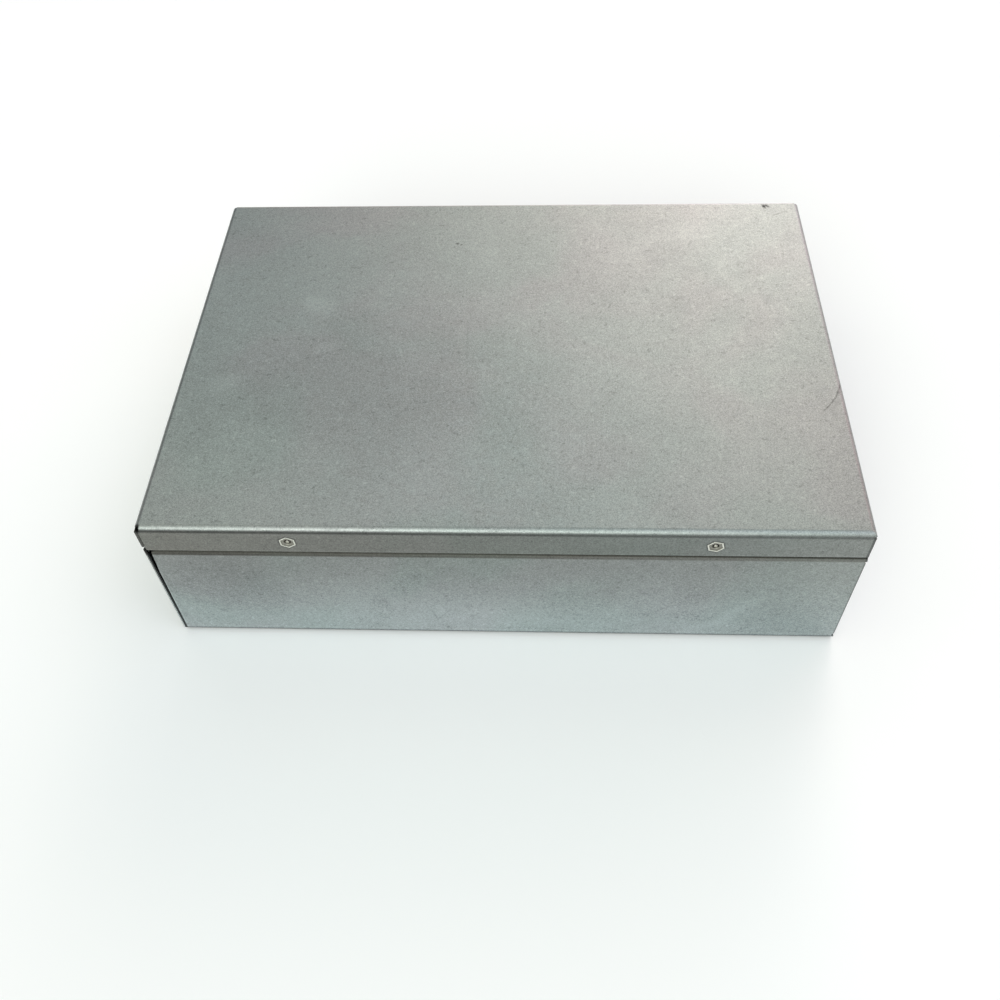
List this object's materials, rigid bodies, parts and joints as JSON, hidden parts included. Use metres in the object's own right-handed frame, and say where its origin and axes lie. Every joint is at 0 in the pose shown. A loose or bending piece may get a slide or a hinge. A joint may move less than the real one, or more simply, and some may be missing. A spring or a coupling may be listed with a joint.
{
  "type": "electrical junction box",
  "caption": "Folded galvanised sheet-steel junction box on its back, full-face cover on concealed hinges, captive closing screws at the rear, terminal rail and earth studs inside.",
  "frame": {"origin": "centre of the back plate's outer face", "axes": "+Z out of the box towards the cover, +X right along the long side, -Y the long side with the hinges and the two flush nuts"},
  "size_m": [0.4, 0.2887, 0.109],
  "materials": {
    "galvanised_sheet": "mill galvanised, soft sheen",
    "galvanised_cover": "mill galvanised, soft sheen",
    "zinc_hardware": "bright zinc plate",
    "hinge_steel": "zinc plated strip",
    "rail_steel": "zinc plated, passivated",
    "brass_stud": "plain brass",
    "terminal_grey": "moulded polyamide",
    "terminal_green_yellow": "moulded polyamide, green with yellow",
    "marker_white": "moulded, blank"
  },
  "bodies": {
    "case": {"body_shell": "galvanised_sheet", "hinge_fork_left": "hinge_steel", "hinge_fork_right": "hinge_steel", "hinge_fork_screws": "zinc_hardware", "hinge_fork_nuts": "zinc_hardware", "hinge_pin_left": "zinc_hardware", "hinge_pin_right": "zinc_hardware", "closing_brackets": "galvanised_sheet", "terminal_rail": "rail_steel", "rail_pillars": "zinc_hardware", "rail_screws": "zinc_hardware", "rail_washers": "zinc_hardware", "terminal_blocks": "terminal_grey", "terminal_markers": "marker_white", "terminal_end_plate": "terminal_grey", "earth_terminals": "terminal_green_yellow", "terminal_clamp_screws": "zinc_hardware", "rail_end_stops": "terminal_grey", "end_stop_screws": "zinc_hardware", "body_earth_stud": "brass_stud", "body_earth_washers": "brass_stud", "body_earth_nuts": "brass_stud"},
    "cover": {"cover_shell": "galvanised_cover", "hinge_flush_nuts": "zinc_hardware", "hinge_cover_leaf_left": "hinge_steel", "hinge_cover_leaf_right": "hinge_steel", "hinge_leaf_screws": "zinc_hardware", "hinge_leaf_washers": "zinc_hardware", "cover_tee_nuts": "zinc_hardware", "cover_earth_stud": "brass_stud", "cover_earth_washers": "brass_stud", "cover_earth_nut": "brass_stud"},
    "closing_screw_left": {"cover_screw_left": "zinc_hardware", "cover_screw_washer_left": "zinc_hardware"},
    "closing_screw_right": {"cover_screw_right": "zinc_hardware", "cover_screw_washer_right": "zinc_hardware"}
  },
  "joints": [
    {"name": "cover_hinge", "type": "hinge", "parent": "case", "child": "cover", "pos_m": [0, -0.1379, 0.104], "axis": [1, 0, 0], "range_deg": [0, 105]},
    {"name": "closing_screw_left_slide", "type": "slide", "parent": "cover", "child": "closing_screw_left", "axis": [0, 1, 0], "range_m": [0, 0.003]},
    {"name": "closing_screw_right_slide", "type": "slide", "parent": "cover", "child": "closing_screw_right", "axis": [0, 1, 0], "range_m": [0, 0.003]}
  ]
}
